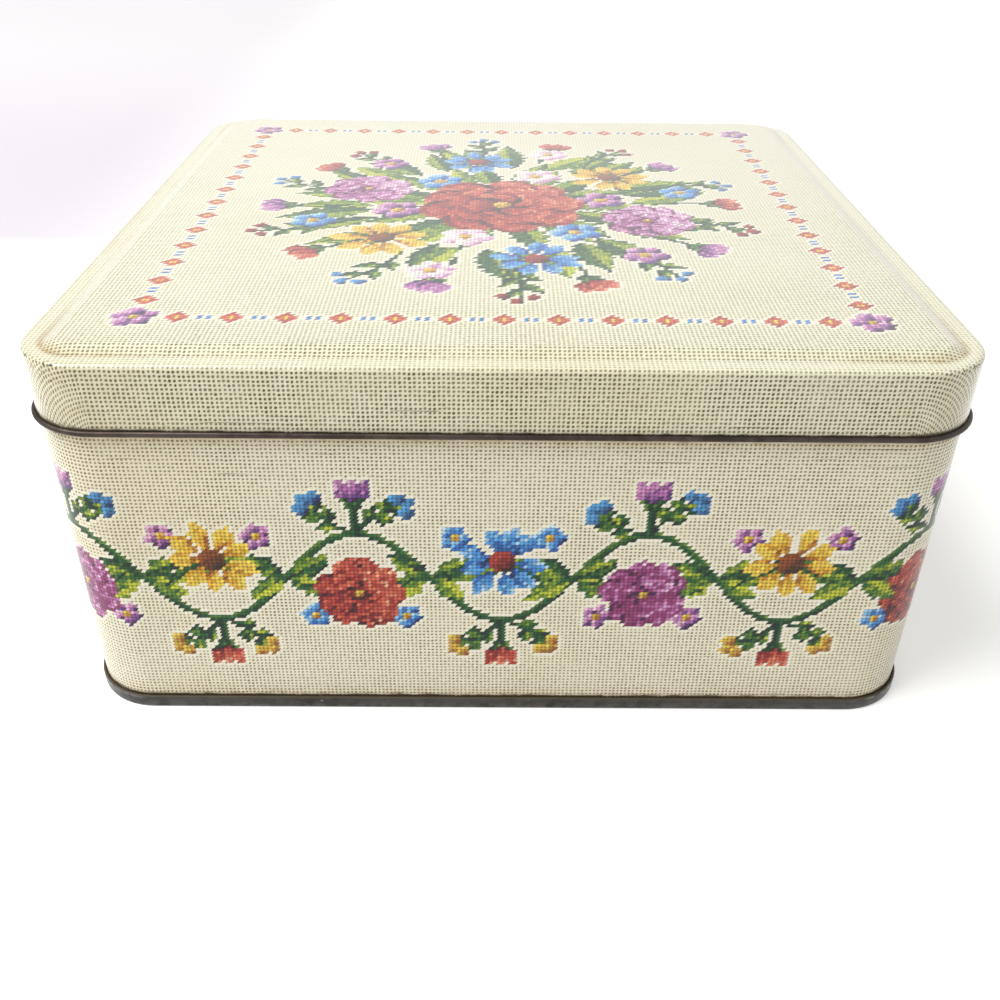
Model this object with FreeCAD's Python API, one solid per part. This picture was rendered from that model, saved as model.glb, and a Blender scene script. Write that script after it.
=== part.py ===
import FreeCAD, Part
import math
import os
from FreeCAD import Vector

# Square slip-lid tin box of folded tinplate, in millimetres.
# The origin is the middle of the underside, +Z is up, and the front faces -Y.

# Sheet and fits
sheet = 0.25              # tinplate thickness
layer_gap = 0.04          # air left between two folded layers
slip = 0.3                # play between the lid and the body, on each side

# Body
body_width = 200.0        # across the outer faces of two opposite walls
corner_radius = 15.5      # outer radius of the body's upright corners
curl_diameter = 1.8       # inward curl along the body's top edge

# Lid
lid_top = 93.0            # height of the raised panel's top face
panel_rise = 1.3          # raised panel above the shoulder
shoulder_width = 4.7      # from the skirt's outer face to the foot of the ramp
panel_corner = 8.0        # radius, seen from above, of the ramp's foot at the corners
ramp_slope = 24.0         # degrees, the drawn step between shoulder and panel
ramp_bend = 2.0           # radius of the step's two bends
top_edge_bend = 1.1       # radius where the shoulder turns down into the skirt
bead_diameter = 1.3       # hollow bead curled outward along the skirt's lower edge
bead_bottom = 75.9        # height of the bead's lowest point
curl_turn = 300.0         # degrees that a curl turns before its raw edge

# Double seam that joins the bottom plate to the body
seam_height = 3.3
seam_bend = 0.33          # radius of the seam's two lower edges
hook_clearance = 0.2      # from a hook's raw edge to the fold that it reaches into
panel_recess = 2.6        # underside of the bottom panel above the table
chuck_bend = 0.8          # radius where the panel turns down into the seam

# Tight folds are pressed as a few narrow flats, and wider bends are true arcs
curl_flats = 9
fold_flats = 4
edge_flats = 2
smooth = 0

# Lock seam down the rear wall
lock_position = 70.0      # its fold, to the right of the middle of the rear wall
lock_width = 3.2          # length of the two hooks
lock_slope = 35.0         # degrees, the step that lets the lock lie inside the wall
lock_bend = 0.4           # radius of that step's bends
lock_shift = 0.15         # from the first hook's fold to the foot of the step
lock_margin = 0.5         # flat wall beside the lock that is cut with it
lock_clearance = 0.7      # plain wall kept between the lock and the curl or the bottom

# Worked out from the sizes above
half = body_width / 2
straight = half - corner_radius            # the walls' corners turn about (straight, straight)
layer = sheet + layer_gap                  # from one folded layer to the next
wall_line = half - sheet / 2               # middle of the body wall's sheet
skirt_line = half + slip + sheet / 2       # middle of the lid skirt's sheet
shoulder_top = lid_top - panel_rise
shoulder_reach = skirt_line + sheet / 2 - top_edge_bend
ramp_foot = skirt_line + sheet / 2 - shoulder_width
panel_turn = ramp_foot - panel_corner      # the panel's corners turn about (panel_turn, panel_turn)
body_top = shoulder_top - sheet - slip


def heading(angle):
    return Vector(math.cos(math.radians(angle)), 0, math.sin(math.radians(angle)))


def leftward(angle):
    return heading(angle + 90)


# One face of a folded sheet, at an offset to the left of its mid-line.
# Each move is a straight run, then a bend: (length, mid-line radius, degrees turned to the left, flats).
def fold_line(start, angle, moves, offset):
    point = start + leftward(angle) * offset
    edges = []
    for length, radius, turn, flats in moves:
        if length > 0:
            end = point + heading(angle) * length
            edges.append(Part.makeLine(point, end))
            point = end
        reach = math.copysign(radius, turn) - offset
        centre = point + leftward(angle) * reach
        for flat in range(flats):
            end = centre - leftward(angle + turn * (flat + 1) / flats) * reach
            edges.append(Part.makeLine(point, end))
            point = end
        if turn and flats == smooth:
            middle = centre - leftward(angle + turn / 2) * reach
            end = centre - leftward(angle + turn) * reach
            edges.append(Part.Arc(point, middle, end).toShape())
            point = end
        angle = angle + turn
    return edges


# Closed cross-section, in the XZ plane, of a sheet that follows the moves.
def folded_section(start, angle, moves):
    left = fold_line(start, angle, moves, sheet / 2)
    right = fold_line(start, angle, moves, -sheet / 2)
    first = Part.makeLine(left[0].firstVertex().Point, right[0].firstVertex().Point)
    last = Part.makeLine(left[-1].lastVertex().Point, right[-1].lastVertex().Point)
    return Part.Face(Part.Wire(left + [last] + right[::-1] + [first]))


# Carries a cross-section round four sides and four corners, each corner about (turn, turn).
def ring(section, turn):
    side = section.translated(Vector(0, -turn, 0)).extrude(Vector(0, 2 * turn, 0))
    corner = section.translated(Vector(0, turn, 0))
    corner = corner.revolve(Vector(turn, turn, 0), Vector(0, 0, 1), 90)
    pieces = []
    for quarter in range(4):
        for piece in (side, corner):
            pieces.append(piece.rotated(Vector(0, 0, 0), Vector(0, 0, 1), 90 * quarter))
    return pieces[0].multiFuse(pieces[1:]).removeSplitter().Solids[0]


# Flat sheet panel, each of its corners about (turn, turn).
def panel(reach, underside, turn):
    radius = reach - turn
    square = Part.makeBox(2 * reach, 2 * reach, sheet, Vector(-reach, -reach, underside))
    upright = [edge for edge in square.Edges if abs(edge.tangentAt(edge.FirstParameter).z) > 0.9]
    return square.makeFillet(radius, upright)


# A step between two levels: the run between two equal and opposite bends.
def step_run(rise, radius, slope):
    slope = math.radians(slope)
    return (rise - 2 * radius * (1 - math.cos(slope))) / math.sin(slope)


def step_length(rise, radius, slope):
    run = step_run(rise, radius, slope)
    slope = math.radians(slope)
    return 2 * radius * math.sin(slope) + run * math.cos(slope)


# Lid: one drawn sheet with a raised panel, shoulder, skirt and outward curl.
# The panel's corners are tighter than the skirt's, so the flat shoulder between them is widest there.
def make_lid():
    curl_bend = (bead_diameter - sheet) / 2
    edge_bend = top_edge_bend - sheet / 2
    panel_reach = ramp_foot - step_length(panel_rise, ramp_bend, ramp_slope)
    skirt_run = shoulder_top - top_edge_bend - bead_bottom - bead_diameter / 2
    ramp = folded_section(Vector(panel_reach, 0, lid_top - sheet / 2), 0, [
        (0, ramp_bend, -ramp_slope, smooth),
        (step_run(panel_rise, ramp_bend, ramp_slope), ramp_bend, ramp_slope, smooth),
    ])
    skirt = folded_section(Vector(shoulder_reach, 0, shoulder_top - sheet / 2), 0, [
        (0, edge_bend, -90, smooth),
        (skirt_run, curl_bend, curl_turn, curl_flats),
    ])
    shoulder = panel(shoulder_reach, shoulder_top - sheet, straight)
    shoulder = shoulder.cut(panel(ramp_foot, shoulder_top - sheet, panel_turn))
    raised = panel(panel_reach, lid_top - sheet, panel_turn)
    lid = ring(skirt, straight).multiFuse([shoulder, ring(ramp, panel_turn), raised])
    return lid.removeSplitter().Solids[0]


# Body wall before its lock seam: hook at the foot, plain wall, inward curl at the top.
def plain_wall():
    curl_bend = (curl_diameter - sheet) / 2
    fold_height = layer + sheet / 2 + layer
    hook_run = seam_height - sheet / 2 - layer - hook_clearance - fold_height
    wall_run = body_top - curl_diameter / 2 - fold_height
    section = folded_section(Vector(wall_line + 2 * layer, 0, fold_height + hook_run), -90, [
        (hook_run, layer, -180, fold_flats),
        (wall_run, curl_bend, curl_turn, curl_flats),
    ])
    return ring(section, straight)


# The two interlocked edges of the lock seam, in plan on the rear wall.
def lock_edges():
    step_end = lock_shift + step_length(3 * layer, lock_bend, lock_slope)
    hook = lock_width - hook_clearance
    outer_edge = folded_section(Vector(lock_position - lock_margin, 0, wall_line), 0, [
        (lock_margin, layer, -180, fold_flats),
        (hook, 0, 0, smooth),
    ])
    inner_edge = folded_section(Vector(lock_position + step_end + lock_margin, 0, wall_line), 180, [
        (lock_margin, lock_bend, lock_slope, edge_flats),
        (step_run(3 * layer, lock_bend, lock_slope), lock_bend, -lock_slope, edge_flats),
        (lock_shift + lock_width, layer, -180, fold_flats),
        (hook, 0, 0, smooth),
    ])
    return outer_edge, inner_edge, step_end


# Body wall: one strip wrapped into a square, its edges locked together inside the rear wall.
def make_body_wall():
    foot = seam_height + lock_clearance
    height = body_top - curl_diameter - lock_clearance - foot
    outer_edge, inner_edge, step_end = lock_edges()
    window = Part.makeBox(step_end + 2 * lock_margin, 2 * sheet, height,
                          Vector(lock_position - lock_margin, half - 1.5 * sheet, foot))
    wall = plain_wall().cut(window)
    for edge in (outer_edge, inner_edge):
        plan = edge.rotated(Vector(0, 0, 0), Vector(1, 0, 0), -90)
        wall = wall.fuse(plan.translated(Vector(0, 0, foot)).extrude(Vector(0, 0, height)))
    return wall.removeSplitter().Solids[0]


# Bottom plate: sunk panel, chuck wall inside the body, and the outer half of the double seam.
def make_bottom_plate():
    chuck_line = wall_line - layer
    panel_reach = chuck_line - chuck_bend
    chuck_run = panel_recess + sheet / 2 - chuck_bend - seam_bend - sheet / 2
    fold_height = seam_height - sheet / 2 - layer
    cover_hook = fold_height - (layer + sheet / 2 + layer) - hook_clearance
    section = folded_section(Vector(panel_reach, 0, panel_recess + sheet / 2), 0, [
        (0, chuck_bend, -90, edge_flats),
        (chuck_run, seam_bend, 90, edge_flats),
        (4 * layer - 2 * seam_bend, seam_bend, 90, edge_flats),
        (fold_height - seam_bend - sheet / 2, layer, 180, fold_flats),
        (cover_hook, 0, 0, smooth),
    ])
    plate = ring(section, straight).fuse(panel(panel_reach, panel_recess, straight))
    return plate.removeSplitter().Solids[0]


os.makedirs("parts", exist_ok=True)
solids = {
    "lid": make_lid(),
    "body_wall": make_body_wall(),
    "bottom_plate": make_bottom_plate(),
}
for name, solid in solids.items():
    solid.exportStep("parts/" + name + ".step")
    print(name, solid.ShapeType, "solids", len(solid.Solids), "valid", solid.isValid(),
          "faces", len(solid.Faces), "volume", round(solid.Volume, 1))
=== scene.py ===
import bpy
import numpy as np
from mathutils import Matrix, Vector


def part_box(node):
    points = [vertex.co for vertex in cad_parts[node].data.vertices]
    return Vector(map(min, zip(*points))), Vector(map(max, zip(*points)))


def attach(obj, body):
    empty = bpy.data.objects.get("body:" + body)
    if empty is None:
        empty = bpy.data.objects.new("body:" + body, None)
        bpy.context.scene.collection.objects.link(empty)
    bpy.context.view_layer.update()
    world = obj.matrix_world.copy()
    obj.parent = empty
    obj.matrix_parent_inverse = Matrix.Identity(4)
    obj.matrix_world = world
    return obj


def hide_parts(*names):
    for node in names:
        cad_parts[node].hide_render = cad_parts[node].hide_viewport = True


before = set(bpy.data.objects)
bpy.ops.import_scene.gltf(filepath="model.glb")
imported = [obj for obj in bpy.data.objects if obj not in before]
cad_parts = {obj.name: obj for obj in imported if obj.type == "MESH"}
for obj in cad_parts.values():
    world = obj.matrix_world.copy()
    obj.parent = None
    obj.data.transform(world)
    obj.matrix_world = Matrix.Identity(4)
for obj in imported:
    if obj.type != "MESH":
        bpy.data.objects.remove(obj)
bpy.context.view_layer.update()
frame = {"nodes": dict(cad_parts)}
scene = bpy.context.scene
mm = 0.001
rng = np.random.default_rng(7)
print("frame loaded:", ", ".join(frame["nodes"]))

# sizes that every piece shares, in millimetres
tin = {
    "half": 100.0,
    "corner": 15.5,
    "sheet": 0.25,
    "layerGap": 0.04,
    "slip": 0.3,
    "sharpAngle": 50.0,
    "flush": 0.01,  # a row this close to a face lies on it
}
straight = tin["half"] - tin["corner"]
sheet = tin["sheet"]
layer = sheet + tin["layerGap"]


# How far a column has turned round its corner, from 0 on a wall to a right angle at the corner's end.
def cornerTurn(columns, cells):
    wallCells, cornerCells = cells
    return np.clip((columns % (wallCells + cornerCells) - wallCells) / cornerCells, 0, 1) * np.pi / 2


# Rounded square walked to the right round the tin, starting at the left end of the front wall. A column
# counts cells: along a wall the point runs straight, and round a corner it turns about (turnAt, turnAt).
# Its distance from the middle plane of the tin is the reach, which may change with row and column.
def aroundTin(columns, cells, reach, turnAt):
    quarter = np.floor(columns / sum(cells))
    local = columns - quarter * sum(cells)
    turn = cornerTurn(columns, cells)
    along = (2 * np.minimum(local / cells[0], 1) - 1) * turnAt
    x = along + (reach - turnAt) * np.sin(turn)
    y = -turnAt - (reach - turnAt) * np.cos(turn)
    cos = np.round(np.cos(quarter * np.pi / 2))
    sin = np.round(np.sin(quarter * np.pi / 2))
    return np.stack([x * cos - y * sin, x * sin + y * cos], -1)


# Bell curve about a middle: exp(-((place - middle) / spread)^2).
def bell(place, middle, spread):
    return np.exp(-(((place - middle) / spread) ** 2))


# A share that grows with wear: plain + worn * wear.
def withWear(shares, wear):
    plain, worn = shares
    return plain + worn * wear


# One face of a folded sheet: straight runs and round bends followed from a start point, always at the same
# offset to the left of the sheet's mid-line, so a bend of radius r has radius r less the offset there.
# A move is (run length, rows on the run, bend radius, degrees turned left, rows on the bend).
def foldLine(start, heading, moves, offset):
    angle = np.radians(heading)
    point = np.array(start, float) + offset * np.array([-np.sin(angle), np.cos(angle)])
    rows = [point[None]]
    for run, runRows, radius, turn, bendRows in moves:
        if run > 0:
            share = np.arange(1, runRows + 1)[:, None] / runRows
            rows.append(point + share * run * np.array([np.cos(angle), np.sin(angle)]))
            point = rows[-1][-1]
        if turn:
            reach = np.copysign(radius, turn) - offset
            centre = point + reach * np.array([-np.sin(angle), np.cos(angle)])
            bend = angle + np.radians(turn) * np.arange(1, bendRows + 1) / bendRows
            rows.append(centre - reach * np.stack([-np.sin(bend), np.cos(bend)], -1))
            point, angle = rows[-1][-1], bend[-1]
    return np.concatenate(rows)


# Length of a line up to each of its rows: the steps between rows added up.
def lengthAlong(rows):
    return np.concatenate([[0], np.cumsum(np.hypot(*np.diff(rows, axis=0).T))])


# A profile's rows carried round the tin, as a grid of points.
def carryRound(columns, cells, profile, reach, turnAt):
    flat = aroundTin(columns, cells, reach, turnAt)
    return np.concatenate([flat, np.broadcast_to(profile[:, 1:], flat.shape[:2])[..., None]], -1)


# Quads between neighbouring rows of a grid whose last column meets the first.
def ringQuads(rowCount, columnCount):
    index = np.arange(rowCount * columnCount).reshape(rowCount, columnCount)
    right = np.roll(index, -1, 1)
    return np.stack([index[:-1], index[1:], right[1:], right[:-1]], -1).reshape(-1, 4)


# Values at the four corners of each such quad, from a grid with one column more than the ring has.
def ringCorners(values):
    return np.stack([values[:-1, :-1], values[1:, :-1], values[1:, 1:], values[:-1, 1:]], 2)


# Mesh from whole arrays: quads, then flat many-sided plates.
def makePiece(name, points, quads, plates, materials, slots):
    mesh = bpy.data.meshes.new(name)
    corners = np.concatenate([quads.reshape(-1)] + plates)
    totals = np.concatenate([np.full(len(quads), 4)] + [[len(plate)] for plate in plates]).astype(np.int32)
    mesh.vertices.add(len(points))
    mesh.vertices.foreach_set("co", (points * mm).astype(np.float32).ravel())
    mesh.loops.add(len(corners))
    mesh.loops.foreach_set("vertex_index", corners.astype(np.int32))
    mesh.polygons.add(len(totals))
    mesh.polygons.foreach_set("loop_start", (np.cumsum(totals) - totals).astype(np.int32))
    for material in materials:
        mesh.materials.append(material)
    mesh.polygons.foreach_set("material_index", slots.astype(np.int32))
    mesh.polygons.foreach_set("use_smooth", np.ones(len(totals), bool))
    mesh.update(calc_edges=True)
    mesh.set_sharp_from_angle(angle=np.radians(tin["sharpAngle"]))
    piece = bpy.data.objects.new(name, mesh)
    scene.collection.objects.link(piece)
    print(name, len(points), "points,", int((totals - 2).sum()), "triangles")
    return piece


def addMap(piece, name, places):
    uvMap = piece.data.uv_layers.new(name=name, do_init=False)
    uvMap.uv.foreach_set("vector", places.astype(np.float32).ravel())
    return uvMap


# Shares of wear on a piece's points, in the order of its rows, and 0 on the points beyond the rows given.
def addShares(piece, shares):
    for name, share in shares.items():
        values = np.zeros(len(piece.data.vertices), np.float32)
        values[: share.size] = share.ravel()
        attribute = piece.data.attributes.new(name, "FLOAT", "POINT")
        attribute.data.foreach_set("value", values)


# Thread of every face, and of the cells to its left and right, whose slanted stitches reach into it.
def addThreads(piece, own, left, right):
    for name, threads in (("ownThread", own), ("leftThread", left), ("rightThread", right)):
        attribute = piece.data.attributes.new(name, "FLOAT_COLOR", "FACE")
        attribute.data.foreach_set("color", threads.astype(np.float32).ravel())


# camera fitted to the photograph: pixels for the focal length, millimetres and degrees for the rest
view = {
    "focalPixels": 1039.5,
    "place": (-2.37, -286.1, 182.7),
    "pitch": 33.28,
    "yaw": 0.526,
    "roll": 0.686,
    "imagePixels": 1000,
    "sensor": 36.0,
}


# Camera turned by the yaw about the upright, pitched down, then rolled about its line of sight.
def makeCamera():
    data = bpy.data.cameras.new("photoCamera")
    data.sensor_width = view["sensor"]
    data.lens = view["focalPixels"] / view["imagePixels"] * view["sensor"]
    pitch, yaw, roll = np.radians([view["pitch"], view["yaw"], view["roll"]])
    ahead = np.array([np.sin(yaw) * np.cos(pitch), np.cos(yaw) * np.cos(pitch), -np.sin(pitch)])
    level = np.array([np.cos(yaw), -np.sin(yaw), 0])
    below = np.cross(ahead, level)
    camera = bpy.data.objects.new("photoCamera", data)
    turned = np.eye(4)
    turned[:3, 0] = level * np.cos(roll) - below * np.sin(roll)
    turned[:3, 1] = -level * np.sin(roll) - below * np.cos(roll)
    turned[:3, 2] = -ahead
    turned[:3, 3] = np.array(view["place"]) * mm
    camera.matrix_world = Matrix(turned)
    scene.collection.objects.link(camera)
    scene.camera = camera


makeCamera()
print("camera placed")

# threads of the stitched print, as screen colours
threads = {
    "maroon": (58, 22, 30),
    "red": (136, 38, 42),
    "vermilion": (182, 66, 54),
    "coral": (212, 104, 80),
    "peach": (240, 176, 138),
    "rust": (150, 78, 34),
    "gold": (222, 166, 46),
    "yellow": (240, 208, 84),
    "navy": (38, 48, 98),
    "blue": (54, 112, 190),
    "sky": (92, 166, 224),
    "pale": (190, 220, 238),
    "plum": (70, 32, 70),
    "violet": (104, 66, 132),
    "magenta": (146, 58, 110),
    "pink": (198, 124, 182),
    "blush": (232, 188, 216),
    "pine": (22, 50, 38),
    "green": (36, 92, 46),
    "moss": (104, 138, 44),
    "lime": (190, 198, 58),
    "bark": (56, 44, 34),
    "white": (244, 242, 232),
}


# Screen colour from 0 to 255 as a linear one: the screen's own power curve undone.
def linear(colour):
    level = np.asarray(colour, float) / 255
    return np.where(level <= 0.04045, level / 12.92, ((level + 0.055) / 1.055) ** 2.4)


# Empty chart: the cells' middles, how far each strays from its shade, its colour and whether it is sewn.
def makeChart(columns, rows):
    x, y = np.meshgrid(np.arange(columns) + 0.5, np.arange(rows) + 0.5, indexing="ij")
    return {
        "x": x,
        "y": y,
        "stray": rng.normal(0, 0.11, x.shape),
        "colour": np.ones(x.shape + (3,)),
        "sewn": np.zeros(x.shape, bool),
    }


# Sews cells with threads from dark to light. A shade from 0 to 1 blends along them, a little astray in every
# cell, as a stitcher mixes neighbouring threads.
def sew(chart, cells, shade, shades):
    row = np.array([linear(threads[name]) for name in shades])
    place = np.clip(shade + chart["stray"], 0, 1) * (len(shades) - 1)
    lower = np.minimum(place.astype(int), len(shades) - 2)
    share = (place - lower)[..., None]
    mixed = row[lower] * (1 - share) + row[lower + 1] * share
    chart["colour"][cells] = mixed[cells]
    chart["sewn"] |= cells


# Some columns of a chart that goes round the tin, as a chart of their own, and where they belong.
def chartWindow(chart, first, last):
    columns = np.arange(first, last)
    index = columns % chart["x"].shape[0]
    window = {key: values[index] for key, values in chart.items()}
    window["x"] = np.broadcast_to(columns[:, None] + 0.5, window["y"].shape)
    return window, index


# Cells measured from a motif's own middle: a along its direction and b to the left of it.
def fromMiddle(chart, middle, direction=0):
    dx = chart["x"] - middle[0]
    dy = chart["y"] - middle[1]
    angle = np.radians(direction)
    return dx * np.cos(angle) + dy * np.sin(angle), dy * np.cos(angle) - dx * np.sin(angle)


# Point at a distance from a middle: middle + distance * (cos, sin) of the direction.
def outFrom(middle, direction, distance):
    angle = np.radians(direction)
    return middle[0] + distance * np.cos(angle), middle[1] + distance * np.sin(angle)


# Petal along its direction: half width = width * sin(pi * share ** 1.6), widest near the tip. It is dark at
# its foot and on one side, with a line down the middle.
def petal(chart, foot, direction, length, width, shades):
    a, b = fromMiddle(chart, foot, direction)
    share = np.clip(a / length, 0, 1)
    edge = np.maximum(width * np.sin(np.pi * share**1.6), 0.45)
    shade = 0.2 + 0.75 * share - 0.35 * (b < -0.45 * edge) - 0.2 * (np.abs(b) < 0.4)
    sew(chart, (a > 0) & (a < length) & (np.abs(b) < edge), shade, shades)


# Leaf: half width = width * sin(pi * share ** 0.8) with a toothed edge, one half lighter than the other and
# a dark vein.
def leaf(chart, foot, direction, length, width, shades):
    a, b = fromMiddle(chart, foot, direction)
    share = np.clip(a / length, 0, 1)
    teeth = 1 + 0.16 * np.sin(1.9 * a + 2.0 * np.sign(b))
    edge = np.maximum(width * np.sin(np.pi * share**0.8) * teeth, 0.45)
    shade = 0.25 + 0.45 * (b > 0) + 0.25 * share - 0.3 * (np.abs(b) > edge - 0.8) - 0.3 * (np.abs(b) < 0.4)
    sew(chart, (a > 0) & (a < length) & (np.abs(b) < edge), shade, shades)


# Stem from a foot along a direction, bowed sideways by bow * 4 * share * (1 - share).
def stem(chart, foot, direction, length, bow, width, shades):
    a, b = fromMiddle(chart, foot, direction)
    share = a / length
    off = b - bow * 4 * share * (1 - share)
    sew(chart, (a > 0) & (a < length) & (np.abs(off) < width), 0.4 + 0.5 * off / width, shades)


# Round spot, hypot(a, b) under its size, lightest towards its upper left.
def disc(chart, middle, size, shades):
    a, b = fromMiddle(chart, middle)
    sew(chart, np.hypot(a, b) < size, 0.55 + 0.4 * (b - a) / size, shades)


# Full bloom: rings of round petals laid from the outside in. A petal is lightest at its outer rim, falls off
# to where it goes under the next ring, and has a dark edge on one side.
def bloom(chart, middle, size, shades, eye):
    for petals, place, reach, side in ((9, 0.66, 0.36, 1), (7, 0.42, 0.33, -1), (5, 0.22, 0.25, 1)):
        turned = rng.uniform(0, 360)
        for number in range(petals):
            angle = turned + 360 * number / petals + rng.normal(0, 5)
            a, b = fromMiddle(chart, outFrom(middle, angle, place * size), angle)
            radius = reach * size * rng.normal(1, 0.07)
            away = np.hypot(a, b) / radius
            lit = 0.12 * np.sin(np.radians(angle + 45))
            shade = 0.42 + 0.42 * a / radius + lit - 0.4 * ((away > 0.74) & (side * b < 0.3 * radius))
            sew(chart, away < 1, shade, shades)
    disc(chart, middle, 0.15 * size, shades[:2])
    disc(chart, middle, 0.1 * size, eye)


# Flower of single petals round a dark eye, no two of quite the same length.
def rayFlower(chart, middle, size, petals, shades, eye):
    turned = rng.uniform(0, 360)
    order = np.concatenate([np.arange(0, petals, 2), np.arange(1, petals, 2)])
    for number in order:
        angle = turned + 360 * number / petals + rng.normal(0, 4)
        foot = outFrom(middle, angle, 0.12 * size)
        petal(chart, foot, angle, size * rng.normal(0.86, 0.06), 1.9 * size / petals, shades)
    disc(chart, middle, 0.27 * size, eye)


# Small flower of five round petals.
def starlet(chart, middle, size, shades, eye):
    turned = rng.uniform(0, 72)
    for number in range(5):
        disc(chart, outFrom(middle, turned + 72 * number, 0.58 * size), 0.46 * size, shades)
    disc(chart, middle, 0.27 * size, eye)


# Bud of three petals on a green cup.
def bud(chart, foot, direction, size, shades):
    for lean in (24, -24, 0):
        petal(chart, foot, direction + lean, size, 0.3 * size, shades)
    cup = outFrom(foot, direction, -0.1 * size)
    for lean in (35, -35):
        leaf(chart, cup, direction + lean, 0.55 * size, 0.14 * size, leafShades)


# Sprig: a bowed stem with pairs of small leaves and berries at its end.
def sprig(chart, foot, direction, length, shades, fruit):
    stem(chart, foot, direction, length, 0.08 * length, 0.6, shades[:2])
    for share, lean in ((0.3, 42), (0.42, -42), (0.58, 40), (0.7, -40)):
        spot = outFrom(outFrom(foot, direction, share * length), direction + 90, 0.06 * length)
        leaf(chart, spot, direction + lean, 0.3 * length, 1.9, shades)
    for place, lean in ((1.0, 0), (0.93, 9), (0.9, -9)):
        disc(chart, outFrom(foot, direction + lean, place * length), 1.7, fruit)


redShades = ("maroon", "red", "vermilion", "coral", "peach")
pinkShades = ("plum", "magenta", "pink", "blush", "white")
plumShades = ("plum", "magenta", "magenta", "pink", "blush")
goldShades = ("rust", "gold", "yellow", "yellow")
blueShades = ("navy", "blue", "sky", "pale")
violetShades = ("plum", "violet", "pink", "blush")
paleShades = ("pink", "blush", "white", "white")
leafShades = ("pine", "green", "moss", "lime")
youngShades = ("green", "moss", "lime", "lime")
eyes = {"dark": ("bark", "rust"), "gold": ("rust", "yellow"), "red": ("maroon", "vermilion")}

# rings of the lid's bouquet, from the rim inwards: angle and distance of each flower from the middle, then
# the kind, size in cells, threads and eye that they take in turn
bouquet = (
    (
        ((14, 54), (74, 55), (131, 54), (196, 54), (251, 55), (312, 54)),
        [("starlet", 6, shades, "gold") for shades in (blueShades, paleShades, violetShades)],
    ),
    (
        ((40, 43), (100, 44), (160, 42), (222, 43), (281, 44), (342, 42)),
        [("ray", 13, goldShades, "dark"), ("ray", 12, blueShades, "red"), ("bloom", 13, pinkShades, "gold")],
    ),
    (
        ((70, 30), (130, 29), (190, 30), (250, 29), (310, 30), (10, 29)),
        [("starlet", 7, shades, "gold") for shades in (paleShades, blueShades, violetShades)],
    ),
    (((0, 0),), [("bloom", 24, redShades, "gold")]),
)


def flower(chart, kind, middle, size, shades, eye):
    if kind == "bloom":
        bloom(chart, middle, size, shades, eyes[eye])
    elif kind == "ray":
        rayFlower(chart, middle, size, 9, shades, eyes[eye])
    else:
        starlet(chart, middle, size, shades, eyes[eye])


# Round bouquet for the lid's panel inside a narrow band of diamonds.
def lidChart(cells):
    chart = makeChart(cells, cells)
    middle = (cells / 2, cells / 2)
    for leaves, distance in ((30, 37), (18, 19)):
        for number in range(leaves):
            angle = 360 / leaves * number + rng.normal(0, 3)
            shades = leafShades if number % 3 else youngShades
            foot = outFrom(middle, angle, distance)
            leaf(chart, foot, angle + rng.normal(0, 14), rng.uniform(20, 27), rng.uniform(3.6, 5), shades)
    for number in range(10):
        angle = 36 * number + 20
        fruit = eyes["red"] if number % 2 else ("navy", "sky")
        sprig(chart, outFrom(middle, angle, 46), angle + rng.normal(0, 8), 25, leafShades, fruit)
    for number in range(10):
        angle = 36 * number + 2
        stem(chart, outFrom(middle, angle, 44), angle, 16, 1, 0.7, leafShades[:2])
        bud(chart, outFrom(middle, angle, 59), angle, 10, violetShades if number % 2 else redShades)
    for places, kinds in bouquet:
        for number, (angle, distance) in enumerate(places):
            kind, size, shades, eye = kinds[number % len(kinds)]
            flower(chart, kind, outFrom(middle, angle, distance), size, shades, eye)
    border(chart, cells, 9)
    return chart


# Band along the panel's edge: diamonds, |along| + |across| under a set size, with dashes between them.
def border(chart, cells, inset):
    fromX = np.minimum(chart["x"], cells - chart["x"])
    fromY = np.minimum(chart["y"], cells - chart["y"])
    along = np.where(fromX > fromY, chart["x"], chart["y"]) - cells / 2
    across = np.abs(np.minimum(fromX, fromY) - inset)
    side = (across < 3) & (np.maximum(fromX, fromY) > inset + 6)
    step = np.abs((along + 6) % 12 - 6)
    sew(chart, side & (step + across < 3.2), 0.4 + 0.2 * (3 - across), redShades[1:4])
    sew(chart, side & (step + across < 1.2), 0.6, goldShades)
    sew(chart, side & (across < 0.6) & (step > 4) & (step < 5.6), 0.6, blueShades[:3])
    for x in (inset, cells - inset):
        for y in (inset, cells - inset):
            starlet(chart, (x, y), 5, violetShades, eyes["gold"])


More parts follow.
